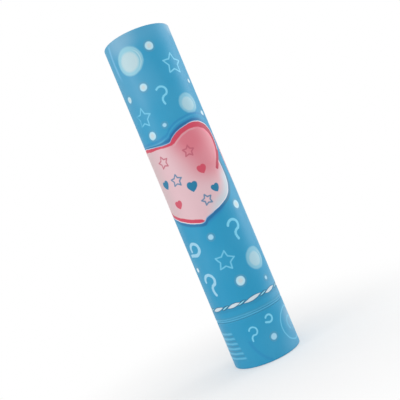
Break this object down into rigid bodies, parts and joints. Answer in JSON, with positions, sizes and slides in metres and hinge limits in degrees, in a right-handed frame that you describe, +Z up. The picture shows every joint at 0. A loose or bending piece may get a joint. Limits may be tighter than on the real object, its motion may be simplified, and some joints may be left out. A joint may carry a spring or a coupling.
{
  "type": "confetti popper",
  "caption": "Hand-held twist-type confetti popper: a straight paper barrel in printed blue film, with a twist base that opens an inner gas bottle and drives paper slips out of the muzzle.",
  "frame": {"origin": "centre of the lower end, on the surface that the popper stands on", "axes": "+Z up along the axis of the tube towards the muzzle; -Y is the side with the heart, which the picture faces"},
  "size_m": [0.05, 0.05, 0.246],
  "materials": {
    "printed_film": "satin",
    "wound_paper": "matte",
    "collar_plastic": "satin",
    "cover_plastic": "satin",
    "inner_plastic": "satin",
    "seal_rubber": "matte",
    "pin_steel": "satin",
    "bottle_aluminium": "satin",
    "valve_brass": "satin",
    "wad_felt": "matte",
    "tissue_slips": "matte",
    "cap_card": "matte",
    "cap_foil": "polished"
  },
  "bodies": {
    "barrel": {"barrel_tube": "wound_paper", "barrel_wrap": "printed_film", "twist_collar": "collar_plastic", "gland_plate": "inner_plastic", "rod_seal": "seal_rubber", "seal_washer": "pin_steel", "bottle_seat": "inner_plastic", "air_bottle": "bottle_aluminium", "valve_housing": "valve_brass", "housing_gasket": "seal_rubber", "bottle_spider": "inner_plastic"},
    "base": {"base_sleeve": "wound_paper", "base_wrap": "printed_film", "base_hub": "inner_plastic", "base_cover": "cover_plastic", "retaining_ring": "pin_steel"},
    "striker": {"striker_rod": "inner_plastic", "cam_pin": "pin_steel", "push_pin": "pin_steel"},
    "valve": {"valve_poppet": "valve_brass", "poppet_seal": "seal_rubber"},
    "wad": {"wad_cup": "inner_plastic", "wad_felt": "wad_felt"},
    "lower_charge": {"confetti_lower": "tissue_slips"},
    "upper_charge": {"confetti_upper": "tissue_slips"},
    "cap": {"muzzle_cap": "cap_card", "muzzle_foil": "cap_foil"}
  },
  "joints": [
    {"name": "base_twist", "type": "hinge", "parent": "barrel", "child": "base", "pos_m": [0, 0, 0.0345], "axis": [0, 0, 1], "range_deg": [0, 90]},
    {"name": "striker_lift", "type": "slide", "parent": "barrel", "child": "striker", "axis": [0, 0, 1], "range_m": [0, 0.007]},
    {"name": "valve_lift", "type": "slide", "parent": "barrel", "child": "valve", "axis": [0, 0, 1], "range_m": [0, 0.007]},
    {"name": "wad_launch", "type": "slide", "parent": "barrel", "child": "wad", "axis": [0, 0, 1], "range_m": [0, 0.1]},
    {"name": "lower_charge_launch", "type": "slide", "parent": "barrel", "child": "lower_charge", "axis": [0, 0, 1], "range_m": [0, 0.12]},
    {"name": "upper_charge_launch", "type": "slide", "parent": "barrel", "child": "upper_charge", "axis": [0, 0, 1], "range_m": [0, 0.15]},
    {"name": "cap_launch", "type": "slide", "parent": "barrel", "child": "cap", "axis": [0, 0, 1], "range_m": [0, 0.18]}
  ],
  "couplings": [
    {"joint": "striker_lift", "follows": "base_twist", "m_per_rad": 0.004456},
    {"joint": "valve_lift", "follows": "base_twist", "m_per_rad": 0.004456},
    {"joint": "lower_charge_launch", "follows": "wad_launch", "ratio": 1.2},
    {"joint": "upper_charge_launch", "follows": "wad_launch", "ratio": 1.5},
    {"joint": "cap_launch", "follows": "wad_launch", "ratio": 1.8}
  ]
}
